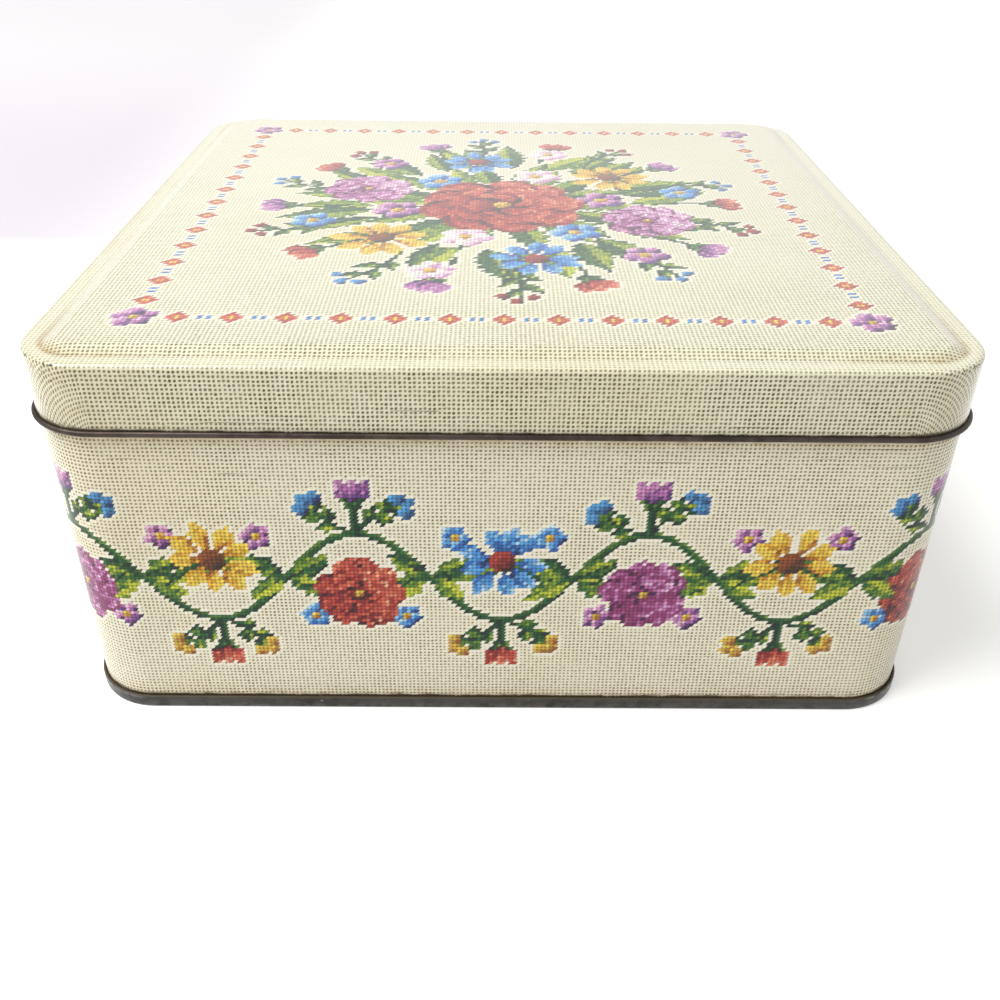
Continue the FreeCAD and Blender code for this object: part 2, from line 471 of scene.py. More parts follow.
# Running vine for the four walls: row = middle + rise * cos(2 pi (column - corner) / wave), with a flower in
# every bend, leaves along it and sprigs on the crests.
def wallChart(columns, rows, cornerColumn, middleRow):
    vine = makeChart(columns, rows)
    waves = 12
    wave = columns / waves
    rise = 13
    reach = 26  # columns on either side of a bend that its motifs stay within
    phase = 2 * np.pi * (vine["x"] - cornerColumn) / wave
    slope = rise * 2 * np.pi / wave * np.sin(phase)
    off = (vine["y"] - middleRow - rise * np.cos(phase)) / np.sqrt(1 + slope**2)
    sew(vine, np.abs(off) < 1.0, 0.45 + 0.4 * off, leafShades[:3])
    for bend in range(2 * waves):
        column = cornerColumn + bend * wave / 2
        chart, index = chartWindow(vine, int(column) - reach, int(column) + reach + 1)
        up = 1 if bend % 2 == 0 else -1
        crest = (column, middleRow + up * rise)
        fruit = ("navy", "sky") if up > 0 else eyes["gold"]
        for lean in (52, -52):
            sprig(chart, crest, 90 * up + lean + rng.normal(0, 4), 15, leafShades, fruit)
        stem(chart, crest, 90 * up, 9, 0, 0.6, leafShades[:2])
        bud(chart, outFrom(crest, 90 * up, 7.5), 90 * up, 8, violetShades if up > 0 else redShades)
        cross = (column + wave / 4, middleRow)
        for lean in (28, 152, 208, 332):
            shades = leafShades if lean < 180 else youngShades
            leaf(chart, outFrom(cross, lean, 1), lean + rng.normal(0, 6), rng.uniform(10, 13), 2.7, shades)
        spot = (column, middleRow - 5 * up)
        for lean in (20, 160):
            leaf(chart, spot, lean * up + rng.normal(0, 8), 14, 3.2, leafShades)
        for lean in (-32, 212):
            shades = blueShades if bend % 4 < 2 else violetShades
            starlet(chart, outFrom(spot, lean * up, 13), 3.6, shades, eyes["gold"])
        kind, shades, eye, size = (
            ("bloom", redShades, "gold", 11),
            ("ray", blueShades, "red", 11),
            ("bloom", plumShades, "gold", 10.5),
            ("ray", goldShades, "dark", 11),
        )[bend % 4]
        flower(chart, kind, spot, size, shades, eye)
        vine["colour"][index] = chart["colour"]
        vine["sewn"][index] = chart["sewn"]
    return vine


# Thread of every cell with its cover: 1 where sewn, half in bare cells beside a stitch, where the canvas
# shows paler. Each stitch is a little lighter or darker than its neighbours.
def chartThreads(chart):
    sewn = chart["sewn"]
    colours = chart["colour"] * rng.normal(1, 0.1, sewn.shape)[..., None]
    beside = np.zeros(sewn.shape, bool)
    for dx, dy in ((1, 0), (-1, 0), (0, 1), (0, -1)):
        beside |= np.roll(sewn, (dx, dy), (0, 1))
    cover = np.where(sewn, 1.0, np.where(beside, 0.5, 0.0))
    return np.concatenate([np.clip(colours, 0, 1), cover[..., None]], -1)


print("stitch charts ready")


def isLink(value):
    return isinstance(value, bpy.types.NodeSocket)


# Links a value to a socket of the same tree, or sets it there.
def feed(socket, value):
    if isLink(value):
        socket.id_data.links.new(value, socket)
    elif value is not None:
        socket.default_value = value


# Adds a node to the tree of the values linked to it, sets or links its inputs in order, and gives back its
# first output.
def put(kind, *values, **settings):
    tree = next(value.id_data for value in values if isLink(value))
    item = tree.nodes.new(kind)
    for key, value in settings.items():
        setattr(item, key, value)
    for socket, value in zip(item.inputs, values):
        feed(socket, value)
    return item.outputs[0]


# short names for the nodes that the materials use
def calc(operation, *values):
    return put("ShaderNodeMath", *values, operation=operation)


def times(first, second):
    return calc("MULTIPLY", first, second)


# value * gain + base
def timesPlus(value, gain, base):
    return calc("MULTIPLY_ADD", value, gain, base)


def move(operation, *values):
    return put("ShaderNodeVectorMath", *values, operation=operation)


def parts(vector):
    return put("ShaderNodeSeparateXYZ", vector).node.outputs


# Smooth step from start to end as the value goes from low to high.
def ramp(value, low, high, start=0.0, end=1.0):
    return put("ShaderNodeMapRange", value, low, high, start, end, interpolation_type="SMOOTHSTEP")


def mixColour(share, first, second, blend="MIX"):
    unused = [None] * 5  # the node's sockets for numbers and places
    mixed = put("ShaderNodeMix", share, *unused, first, second, data_type="RGBA", blend_type=blend)
    return mixed.node.outputs[2]


def mixValue(share, first, second):
    return put("ShaderNodeMix", share, None, first, second)


def tone(*colour):
    return (*linear(colour), 1)


def noise(place, scale, detail=2.0, roughness=0.5):
    return put("ShaderNodeTexNoise", place, None, scale, detail, roughness)


def whiteNoise(place):
    item = put("ShaderNodeTexWhiteNoise", place, noise_dimensions="2D").node
    return item.outputs["Value"], item.outputs["Color"]


# Node group with named inputs, each of the kind of its first value: a number, a place or a colour.
def newGroup(name, inputs, outputs):
    tree = bpy.data.node_groups.new(name, "ShaderNodeTree")
    for label, value in inputs.items():
        kind = "Float" if np.isscalar(value) else {3: "Vector", 4: "Color"}[len(value)]
        socket = tree.interface.new_socket(label, in_out="INPUT", socket_type="NodeSocket" + kind)
        socket.default_value = value
    for label in outputs:
        kind = "Color" if label == "Color" else "Float"
        tree.interface.new_socket(label, in_out="OUTPUT", socket_type="NodeSocket" + kind)
    return tree, tree.nodes.new("NodeGroupInput").outputs, tree.nodes.new("NodeGroupOutput").inputs


def giveOut(tree, result, **values):
    for label, value in values.items():
        feed(result[label], value)
    return tree


white = (1, 1, 1, 1)
origin = (0, 0, 0)
surfaceOutputs = ("Color", "Roughness", "Metallic", "Height")


# Stitched canvas: dark pin holes where four cells meet, and slanted stitches in the sewn cells. A stitch
# leans to the right, so near its upper left corner a cell shows the stitch to its left, and near its lower
# right corner the one to its right.
def canvasGroup():
    inputs = {
        "Cells": origin,
        "Own Thread": white,
        "Own Cover": 0.0,
        "Left Thread": white,
        "Left Cover": 0.0,
        "Right Thread": white,
        "Right Cover": 0.0,
        "Canvas": tone(226, 218, 190),
        "Hole": tone(70, 62, 40),
        "Hole Width": 0.3,
        "Hole Height": 0.25,
        "Hole Strength": 0.9,
        "Stitch Slant": 0.6,
    }
    tree, given, result = newGroup("stitchedCanvas", inputs, ("Color",))
    cells = given["Cells"]
    inCell = parts(move("SUBTRACT", move("FRACTION", cells), (0.5, 0.5, 0)))
    slanted = calc("SUBTRACT", inCell[0], times(inCell[1], given["Stitch Slant"]))
    onRight = calc("GREATER_THAN", slanted, 0.5)
    onLeft = calc("LESS_THAN", slanted, -0.5)
    thread = mixColour(onRight, given["Own Thread"], given["Right Thread"])
    thread = mixColour(onLeft, thread, given["Left Thread"])
    cover = mixValue(onRight, given["Own Cover"], given["Right Cover"])
    cover = mixValue(onLeft, cover, given["Left Cover"])
    sewn = ramp(cover, 0.7, 0.8)
    beside = ramp(calc("ABSOLUTE", calc("SUBTRACT", cover, 0.5)), 0.3, 0.1)

    # a pin hole is a leaning oval, |x / wide| ** power + |y / high| ** power under 1, no two of the same
    # size, place or darkness
    power = 2.6
    nearest = move("FLOOR", move("ADD", cells, (0.5, 0.5, 0)))
    value, colour = whiteNoise(nearest)
    random = parts(colour)
    offset = parts(move("SUBTRACT", cells, nearest))
    offX = calc("ADD", offset[0], timesPlus(random[0], 0.12, -0.06))
    offY = calc("ADD", offset[1], timesPlus(random[1], 0.12, -0.06))
    offX = calc("SUBTRACT", offX, times(offY, 0.15))
    wide = times(given["Hole Width"], timesPlus(random[2], 0.3, 0.85))
    high = times(given["Hole Height"], timesPlus(value, 0.3, 0.85))
    shareX = calc("POWER", calc("ABSOLUTE", calc("DIVIDE", offX, wide)), power)
    shareY = calc("POWER", calc("ABSOLUTE", calc("DIVIDE", offY, high)), power)
    hole = ramp(calc("POWER", calc("ADD", shareX, shareY), 1 / power), 1.25, 0.75)
    hole = times(hole, timesPlus(random[1], 0.22, 0.84))
    drift = ramp(noise(cells, 0.06, 2.0), 0.3, 0.7, 0.8, 1.0)
    hole = times(times(hole, drift), given["Hole Strength"])

    cloth = mixColour(times(beside, 0.5), given["Canvas"], tone(250, 246, 232))
    weave = times(ramp(noise(cells, 1.7, 1.0), 0.35, 0.7), 0.14)
    cloth = mixColour(weave, cloth, tone(188, 178, 140))
    edges = calc("MAXIMUM", calc("ABSOLUTE", inCell[0]), calc("ABSOLUTE", inCell[1]))
    cloth = mixColour(ramp(edges, 0.36, 0.5, 0.0, 0.12), cloth, tone(176, 166, 126))
    bareHole = times(hole, timesPlus(beside, -0.7, 1.0))
    cloth = mixColour(bareHole, cloth, given["Hole"])

    # a stitch is lit along its middle and dark in the holes at its ends
    across = calc("ABSOLUTE", slanted)
    ends = calc("ABSOLUTE", inCell[1])
    light = ramp(calc("MAXIMUM", across, ends), 0.52, 0.3, 0.72, 1.05)
    light = times(light, timesPlus(hole, -0.62, 1.0))
    grey = put("ShaderNodeCombineColor", light, light, light)
    yarn = mixColour(1.0, thread, grey, "MULTIPLY")
    return giveOut(tree, result, Color=mixColour(sewn, cloth, yarn))


# Age on the printed tin: faint yellowing, brown grime in the creases, fine scratches along the sheet, dark
# bare metal on rubbed edges, and the slight waves of thin sheet.
def ageGroup():
    inputs = {
        "Color": white,
        "Cells": origin,
        "Place": origin,
        "Toning": 0.0,
        "Grime": 0.0,
        "Rub": 0.0,
        "Scuff": 0.0,
    }
    tree, given, result = newGroup("printAge", inputs, surfaceOutputs)
    place = given["Place"]
    patches = times(ramp(noise(place, 16.0, 3.0), 0.45, 0.75), 0.14)
    colour = mixColour(patches, given["Color"], tone(236, 214, 168), "MULTIPLY")
    uneven = ramp(noise(place, 300.0, 3.0), 0.3, 0.6, 0.4, 1.0)
    # toning, which on the wall also lays the painted shadow under the lid's bead
    stain = times(given["Toning"], uneven)
    colour = mixColour(stain, colour, tone(196, 160, 92), "MULTIPLY")
    streaks = noise(move("MULTIPLY", place, (260, 260, 700)), 1.0, 3.0, 0.65)
    # grime, which on the wall also darkens under the lid's bead as painted shadow
    dirt = calc("ADD", given["Grime"], timesPlus(streaks, 1.8, -0.9))
    dirt = times(ramp(dirt, 0.25, 0.9), ramp(given["Grime"], 0.0, 0.15))
    colour = mixColour(times(dirt, 0.92), colour, tone(68, 58, 38))
    lines = noise(move("MULTIPLY", given["Cells"], (0.022, 1.3, 1)), 1.0, 4.0, 0.55)
    where = ramp(noise(given["Cells"], 0.04, 1.0), 0.47, 0.55)
    scratch = times(ramp(lines, 0.645, 0.66), where)
    scratch = times(scratch, given["Scuff"])
    colour = mixColour(times(scratch, 0.85), colour, tone(84, 70, 44))
    chips = timesPlus(noise(place, 800.0, 3.0, 0.6), 1.6, -0.8)
    bare = times(ramp(calc("ADD", given["Rub"], chips), 0.5, 0.6), 0.95)
    bare = times(bare, ramp(given["Rub"], 0.02, 0.1))
    colour = mixColour(bare, colour, tone(66, 56, 46))
    shine = timesPlus(noise(place, 60.0, 3.0), 0.16, 0.12)
    shine = timesPlus(dirt, 0.3, shine)
    waves = timesPlus(scratch, -0.06, noise(place, 28.0, 2.0))
    waves = timesPlus(bare, -0.15, waves)
    metal = times(bare, 0.6)
    return giveOut(tree, result, Color=colour, Roughness=shine, Metallic=metal, Height=waves)


# Unprinted tinplate: grey with faint duller blotches, drawn marks round the tin, fine pale scratches, brown
# specks, and brighter metal on rubbed edges, which on the seam is also a painted highlight and reflection.
def tinGroup():
    inputs = {
        "Place": origin,
        "Bright": tone(150, 146, 138),
        "Dull": tone(84, 80, 76),
        "Scratched": tone(190, 188, 184),
        "Rust": 0.2,
        "Dullness": 0.3,
        "Rub": 0.0,
        "Grime": 0.0,
    }
    tree, given, result = newGroup("bareTin", inputs, surfaceOutputs)
    place = given["Place"]
    blotch = times(noise(place, 45.0, 3.0), noise(place, 260.0, 3.0, 0.6))
    blotch = ramp(blotch, 0.16, 0.36)
    colour = mixColour(blotch, given["Bright"], given["Dull"])
    marks = noise(move("MULTIPLY", place, (90, 90, 2600)), 1.0, 3.0, 0.6)
    colour = mixColour(ramp(marks, 0.45, 0.7, 0.0, 0.35), colour, given["Dull"])
    lines = noise(move("MULTIPLY", place, (40, 900, 1800)), 1.0, 2.0)
    crossing = noise(move("MULTIPLY", place, (700, 60, 1500)), 1.0, 2.0)
    scratch = ramp(calc("MAXIMUM", lines, crossing), 0.69, 0.74)
    scratch = times(scratch, ramp(noise(place, 80.0, 2.0), 0.4, 0.6))
    # rubbed metal, and on the seam also a painted highlight and a painted reflection
    worn = times(given["Rub"], ramp(noise(place, 500.0, 3.0), 0.35, 0.6))
    scratch = calc("MAXIMUM", times(scratch, 0.7), worn)
    colour = mixColour(scratch, colour, given["Scratched"])
    specks = ramp(noise(place, 420.0, 3.0, 0.6), 0.6, 0.72)
    rust = times(specks, given["Rust"])
    colour = mixColour(rust, colour, tone(82, 54, 34))
    uneven = ramp(noise(place, 300.0, 3.0), 0.25, 0.5, 0.6, 1.0)
    dirt = times(given["Grime"], uneven)
    colour = mixColour(dirt, colour, tone(66, 56, 36))
    rust = calc("MAXIMUM", rust, dirt)
    shine = timesPlus(rust, 0.3, given["Dullness"])
    shine = timesPlus(blotch, 0.12, shine)
    metal = calc("SUBTRACT", 1.0, rust)
    scored = timesPlus(scratch, -0.4, marks)
    return giveOut(tree, result, Color=colour, Roughness=shine, Metallic=metal, Height=scored)


canvasTree = canvasGroup()
ageTree = ageGroup()
tinTree = tinGroup()


def useGroup(tree, group, **inputs):
    item = tree.nodes.new("ShaderNodeGroup")
    item.node_tree = group
    for key, value in inputs.items():
        feed(item.inputs[key.replace("_", " ")], value)
    return item.outputs


def newMaterial(name):
    material = bpy.data.materials.new(name)
    material.use_nodes = True
    tree = material.node_tree
    return material, tree, tree.nodes["Principled BSDF"].inputs


def attribute(tree, name, output="Fac"):
    item = tree.nodes.new("ShaderNodeAttribute")
    item.attribute_name = name
    return item.outputs[output]


def objectPlace(tree):
    return tree.nodes.new("ShaderNodeTexCoord").outputs["Object"]


def mapPlace(tree, name):
    item = tree.nodes.new("ShaderNodeUVMap")
    item.uv_map = name
    return item.outputs[0]


# Joins a group's surface to the shader, its height as a bump of a depth in millimetres.
def dress(tree, shader, surface, strength, depth):
    tree.links.new(surface["Color"], shader["Base Color"])
    tree.links.new(surface["Roughness"], shader["Roughness"])
    tree.links.new(surface["Metallic"], shader["Metallic"])
    item = tree.nodes.new("ShaderNodeBump")
    item.inputs["Strength"].default_value = strength
    item.inputs["Distance"].default_value = depth * mm
    tree.links.new(surface["Height"], item.inputs["Height"])
    tree.links.new(item.outputs[0], shader["Normal"])


# Printed canvas, its holes weaker by the piece's painted sheen, then its age and a varnish.
def printMaterial(name, mapName, canvas, holes, gloss, varnish):
    material, tree, shader = newMaterial(name)
    cells = mapPlace(tree, mapName)
    threadsHere = {}
    for side in ("Own", "Left", "Right"):
        threadsHere[side + "_Thread"] = attribute(tree, side.lower() + "Thread", "Color")
        threadsHere[side + "_Cover"] = attribute(tree, side.lower() + "Thread", "Alpha")
    strength = holes["strength"]
    cloth = useGroup(
        tree,
        canvasTree,
        Cells=cells,
        Canvas=tone(*canvas),
        Hole=tone(*holes["colour"]),
        Hole_Width=holes["width"],
        Hole_Height=holes["height"],
        Hole_Strength=timesPlus(attribute(tree, "paintedSheen"), -strength, strength),
        **threadsHere,
    )
    aged = useGroup(
        tree,
        ageTree,
        Color=cloth["Color"],
        Cells=cells,
        Place=objectPlace(tree),
        **{label: attribute(tree, label.lower()) for label in ("Toning", "Grime", "Rub", "Scuff")},
    )
    dress(tree, shader, aged, strength=0.25, depth=0.5)
    shader["IOR"].default_value = gloss
    shader["Coat Weight"].default_value = varnish
    shader["Coat Roughness"].default_value = 0.3
    shader["Coat IOR"].default_value = 1.3
    return material


def tinMaterial(name, bright, dull, scratched, rust, dullness):
    material, tree, shader = newMaterial(name)
    metal = useGroup(
        tree,
        tinTree,
        Place=objectPlace(tree),
        Bright=tone(*bright),
        Dull=tone(*dull),
        Scratched=tone(*scratched),
        Rust=rust,
        Dullness=dullness,
        Rub=attribute(tree, "rub"),
        Grime=attribute(tree, "grime"),
    )
    dress(tree, shader, metal, strength=0.2, depth=0.05)
    return material


lidHoles = {"colour": (84, 76, 14), "width": 0.3, "height": 0.31, "strength": 1.0}
wallHoles = {"colour": (102, 90, 48), "width": 0.28, "height": 0.27, "strength": 0.92}
lidPrint = printMaterial("lidPrint", "blankMap", (234, 231, 203), lidHoles, gloss=1.4, varnish=1.0)
wallPrint = printMaterial("wallPrint", "stitchMap", (240, 233, 209), wallHoles, gloss=1.33, varnish=0.0)

# bare metals: bright, dull and scratched screen colours, share of rusty specks, and dullness
beadMetal = tinMaterial("beadMetal", (76, 68, 63), (58, 51, 46), (118, 108, 102), 0.4, 0.42)
seamMetal = tinMaterial("seamMetal", (69, 68, 66), (55, 54, 52), (152, 152, 154), 0.3, 0.3)
insideMetal = tinMaterial("insideMetal", (222, 218, 208), (206, 201, 190), (236, 234, 228), 0.12, 0.3)
print("materials ready")

# drawn lid: raised panel, ramp, shoulder, skirt and outward curl
lid = {
    "top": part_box("lid")[1].z / mm,
    "bottom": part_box("lid")[0].z / mm,
    "panelRise": 1.3,
    "shoulder": 4.7,
    "panelCorner": 8.0,
    "rampSlope": 24.0,
    "rampBend": 2.0,
    "edgeBend": 1.1,
    "bead": 1.28,
    "curlTurn": 300.0,
    "cells": (181, 20),
    "outerRows": {"ramp": 3, "shoulder": 3, "edge": 5, "skirt": 8, "foot": 5, "bead": 12},
    "innerRows": {"ramp": 2, "shoulder": 1, "edge": 3, "skirt": 1, "foot": 1, "bead": 12},
    "sag": 0.15,
    "grimeBand": 2.0,
    "grimeFrom": 0.05,  # above the bead
    "grimeSpread": (0.18, 0.7),  # on a plain side, and how much more at a worn corner
    "cornerWear": (0.8, 0.3, 0.3, 1.0),
    "wearSpread": 16.0,
    "skirtMargin": 0.1,
    "edgeFrom": 10.0,  # above the bead, where the top edge begins
    "edgeRub": (0.15, 0.42),
    "edgeRubAt": (-0.25, 0.35),  # middle and spread, out from the skirt's face
    "edgeToning": 0.3,
    "edgeToningAt": (0.0, 3.0),
    "leftSide": (0.875, 0.1),  # middle and spread, as shares of the way round
    "footToning": (0.1, 0.8),
    "footToningAt": (-0.3, 0.6),  # middle and spread, out from the ramp's foot
    "skirtToning": 0.14,
    "skirtToningUp": ((0, 12), (1, 0.7)),
    "scuffUp": ((0, 4, 8, 12), (1, 1, 0.4, 0.2)),
    "topScuff": 0.15,
    # painted sheen: holes paler where the varnish's sheen washes the print out
    "paintedSheenFrom": (-3.8, -2.6, -0.5, 0.6, 2.5, 4.4, 4.7),  # out from the ramp's foot
    "paintedSheen": (0.15, 0.15, 0.15, 0.5, 0.6, 0.3, 0),
    "backSheen": 0.25,
    "crownSheen": 0.3,
    "bakeSide": 120.0,  # half the width of the blank's square on the bake map
    "bakeScale": (0.395, 0.09),  # printed and plain face
    "bakeCorner": ((0.005, 0.005), (0.81, 0.01)),
}
skirtFace = tin["half"] + tin["slip"] + sheet
rampFoot = skirtFace - lid["shoulder"]
panelTurn = rampFoot - lid["panelCorner"]


# Slope length and level length of a step made of two equal bends with a straight ramp between them.
def stepSizes(rise, radius, slope):
    slope = np.radians(slope)
    run = (rise - 2 * radius * (1 - np.cos(slope))) / np.sin(slope)
    return run, 2 * radius * np.sin(slope) + run * np.cos(slope)


# Rows of one face of the lid, and the corner centre that each row turns about.
def lidRows(offset, rows):
    rampRun, rampReach = stepSizes(lid["panelRise"], lid["rampBend"], lid["rampSlope"])
    skirtRun = lid["top"] - lid["panelRise"] - lid["edgeBend"] - lid["bottom"] - lid["bead"] / 2
    moves = [
        (0, 0, lid["rampBend"], -lid["rampSlope"], rows["ramp"]),
        (rampRun, 1, lid["rampBend"], lid["rampSlope"], rows["ramp"]),
        (lid["shoulder"] - lid["edgeBend"], rows["shoulder"], lid["edgeBend"] - sheet / 2, -90, rows["edge"]),
        (skirtRun - lid["grimeBand"], rows["skirt"], 0, 0, 0),
        (lid["grimeBand"], rows["foot"], (lid["bead"] - sheet) / 2, lid["curlTurn"], rows["bead"]),
    ]
    line = foldLine((rampFoot - rampReach, lid["top"] - sheet / 2), 0, moves, offset)
    rampRows = 2 * rows["ramp"] + 2
    share = np.clip((np.arange(len(line)) - rampRows + 1) / rows["shoulder"], 0, 1)
    return line, panelTurn + share * (straight - panelTurn)


# Square of grid lines with rounded corners: in a corner zone the larger of the two coordinates gives the
# radius and their ratio the angle, so the outermost lines become the corner's arc.
def panelGrid(reach):
    wallCells, cornerCells = lid["cells"]
    margin = panelTurn + (reach - panelTurn) * np.arange(1, cornerCells // 2 + 1) / (cornerCells // 2)
    lines = np.concatenate([-margin[::-1], np.linspace(-panelTurn, panelTurn, wallCells + 1), margin])
    x, y = np.meshgrid(lines, lines, indexing="ij")
    overX = np.maximum(np.abs(x) - panelTurn, 0)
    overY = np.maximum(np.abs(y) - panelTurn, 0)
    far = np.maximum(overX, overY)
    angle = np.minimum(overX, overY) / np.maximum(far, 1e-9) * np.pi / 4
    long, short = far * np.cos(angle), far * np.sin(angle)
    newX = np.where(overX > overY, long, short)
    newY = np.where(overX > overY, short, long)
    x = np.where(overX > 0, np.sign(x) * (panelTurn + newX), x)
    y = np.where(overY > 0, np.sign(y) * (panelTurn + newY), y)
    return x, y


# The printed blank before drawing: as long as the profile on the walls, and shorter round a drawn corner,
# where the skirt's depth takes up the ring of metal beyond its rim:
# r = sqrt(rim^2 + 2 * corner radius * depth).
def lidBlank(columns, line, turnAt):
    reach = line[0, 0] + lengthAlong(line)
    depth = np.clip(lid["top"] - lid["panelRise"] - lid["edgeBend"] - line[:, 1], 0, None)
    depth = np.maximum.accumulate(depth)
    rim = reach - turnAt - depth
    drawn = np.sqrt(rim**2 + 2 * (skirtFace - straight) * depth)
    squeeze = (reach - turnAt - drawn)[:, None] * np.sin(2 * cornerTurn(columns, lid["cells"]))
    return aroundTin(columns, lid["cells"], reach[:, None] - squeeze, turnAt[:, None])


# Wear at the corners: the sum over the four of weight * a bell curve of the columns from the corner.
def cornerWear(columns):
    side = sum(lid["cells"])
    wear = np.zeros(columns.shape)
    for corner, weight in enumerate(lid["cornerWear"]):
        away = columns - (corner + 1) * side + lid["cells"][1] / 2
        away = (away + 2 * side) % (4 * side) - 2 * side
        wear += weight * bell(away, 0, lid["wearSpread"])
    return wear


# Lid: both faces of its profile carried round the tin, and a grid across the panel that sags by
# sag * ((1 - x^2) * (1 - y^2))^2, where x and y are shares of the way to the panel's edge.
def makeLid():
    wallCells, cornerCells = lid["cells"]
    around = 4 * sum(lid["cells"])
    pitch = 2 * panelTurn / wallCells
    outer, outerTurn = lidRows(sheet / 2, lid["outerRows"])
    inner, innerTurn = lidRows(-sheet / 2, lid["innerRows"])
    beadRows = lid["outerRows"]["bead"]
    profile = np.concatenate([outer, inner[::-1]])
    turnAt = np.concatenate([outerTurn, innerTurn[::-1]])[:, None]
    columns = np.arange(around + 1, dtype=float)[None]
    ring = carryRound(columns, lid["cells"], profile, profile[:, :1], turnAt)

    # the panel closes the top, its border being the ring's first row
    x, y = panelGrid(outer[0, 0])
    count = x.shape[0] - 1
    half = cornerCells // 2
    steps = np.arange(count + 1) - half
    grid = np.zeros(x.shape, int)
    grid[:, 0] = steps % around
    grid[count, :] = (steps + count) % around
    grid[::-1, count] = (steps + 2 * count) % around
    grid[0, ::-1] = (steps + 3 * count) % around
    inside = (slice(1, -1), slice(1, -1))
    grid[inside] = ring.shape[0] * around + np.arange((count - 1) ** 2).reshape(count - 1, count - 1)
    shareX, shareY = x[inside] / x.max(), y[inside] / y.max()
    sag = lid["sag"] * ((1 - shareX**2) * (1 - shareY**2)) ** 2
    panel = np.stack([x[inside], y[inside], lid["top"] - sag], -1).reshape(-1, 3)
    points = np.concatenate([ring[:, :-1].reshape(-1, 3), panel])
    ringFaces = ringQuads(len(profile), around)
    panelFaces = ringCorners(grid).reshape(-1, 4)
    under = ((len(profile) - 1) * around + np.arange(around))[::-1]
    rowSlot = np.full(len(profile) - 1, 2)
    rowSlot[: len(outer) - 1] = 0
    rowSlot[len(outer) - beadRows + 1 : len(outer) + beadRows] = 1
    slots = np.concatenate([np.repeat(rowSlot, around), np.zeros(len(panelFaces)), [2]])
    quads = np.concatenate([ringFaces, panelFaces])
    piece = makePiece("printedLid", points, quads, [under], [lidPrint, beadMetal, insideMetal], slots)

    # both faces of the sheet laid flat: the printed one in stitches, and again beside the inner one to bake
    outerFlat = lidBlank(columns, outer, outerTurn)
    innerFlat = lidBlank(columns, inner, innerTurn)[::-1]
    rawEdge = innerFlat[:1] * (1 + sheet / lid["bakeSide"])
    panelFlat = ringCorners(np.stack([x, y], -1))
    printed = np.concatenate([ringCorners(outerFlat).reshape(-1, 2), panelFlat.reshape(-1, 2)])
    plain = ringCorners(np.concatenate([rawEdge, innerFlat])).reshape(-1, 2)
    underFlat = innerFlat[-1, :-1][::-1]
    split = 4 * (len(outer) - 1) * around
    places = np.concatenate([printed[:split], plain, printed[split:], underFlat])
    stitchMap = addMap(piece, "blankMap", (places + panelTurn) / pitch)
    stitchMap.active_render = True
    plain = np.concatenate([plain, underFlat]) * np.array([-1, 1])
    printed, plain = [
        (face / lid["bakeSide"] + 1) * scale + np.array(corner)
        for face, scale, corner in zip((printed, plain), lid["bakeScale"], lid["bakeCorner"])
    ]
    cut = len(plain) - len(underFlat)
    addMap(piece, "OFBake", np.concatenate([printed[:split], plain[:cut], printed[split:], plain[cut:]]))

    stitches = np.zeros((count, count, 4))
    stitches[half : half + wallCells, half : half + wallCells] = chartThreads(lidChart(wallCells))
    bare = np.zeros((len(ringFaces), 4))
    beside = [np.roll(stitches, shift, 0).reshape(-1, 4) for shift in (0, 1, -1)]
    addThreads(piece, *[np.concatenate([bare, faces, bare[:1]]) for faces in beside])

    # grime lies against the bead, the ramp's foot is stained, the top edge is rubbed, the skirt's foot is
    # scuffed, and a painted sheen pales the holes on the top, most towards the back and over the panel's
    # middle
    wear = cornerWear(columns[0, :-1])
    high = outer[:, 1] - lid["bottom"] - lid["bead"]
    fromFoot = outer[:, 0] - rampFoot
    fromFace = outer[:, 0] - skirtFace
    onEdge = high > lid["edgeFrom"]
    onSkirt = fromFace > -lid["skirtMargin"]
    onSkirt[-beadRows:] = False
    overBead = np.clip(high - lid["grimeFrom"], 0, None)[:, None]
    beadGrime = np.exp(-overBead / withWear(lid["grimeSpread"], wear))
    footToning = bell(fromFoot, *lid["footToningAt"])
    # painted sheen: paler holes on the ramp, shoulder and edge, more to the back and over the panel's middle
    topSheen = np.interp(fromFoot, lid["paintedSheenFrom"], lid["paintedSheen"])
    backSheen = np.interp(fromFoot, [0, lid["shoulder"]], [lid["backSheen"], 0])
    skirtToning = lid["skirtToning"] * onSkirt * np.interp(high, *lid["skirtToningUp"])
    edgeToning = bell(fromFace, *lid["edgeToningAt"]) * onEdge
    onLeft = bell(columns[0, :-1] / around, *lid["leftSide"])
    edgeRub = bell(fromFace, *lid["edgeRubAt"]) * onEdge
    scuffed = np.where(onSkirt, np.interp(high, *lid["scuffUp"]), lid["topScuff"])
    ringSheen = topSheen[:, None] + backSheen[:, None] * (1 + ring[: len(outer), :-1, 1] / skirtFace)
    crown = np.sqrt((1 - shareX**2) * (1 - shareY**2))
    panelSheen = lid["paintedSheen"][0] + lid["backSheen"] * (1 + shareY) + lid["crownSheen"] * crown
    shares = {
        "paintedSheen": np.concatenate([ringSheen.ravel(), np.zeros(len(inner) * around), panelSheen.ravel()]),
        "toning": footToning[:, None] * withWear(lid["footToning"], np.sqrt(wear))
        + skirtToning[:, None] * (1 + wear)
        + lid["edgeToning"] * edgeToning[:, None] * onLeft,
        "grime": beadGrime * onSkirt[:, None],
        "rub": edgeRub[:, None] * withWear(lid["edgeRub"], wear),
        "scuff": np.broadcast_to(scuffed[:, None], beadGrime.shape),
    }
    addShares(piece, shares)
    return piece


lidPiece = makeLid()
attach(lidPiece, "lid")
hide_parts("lid")

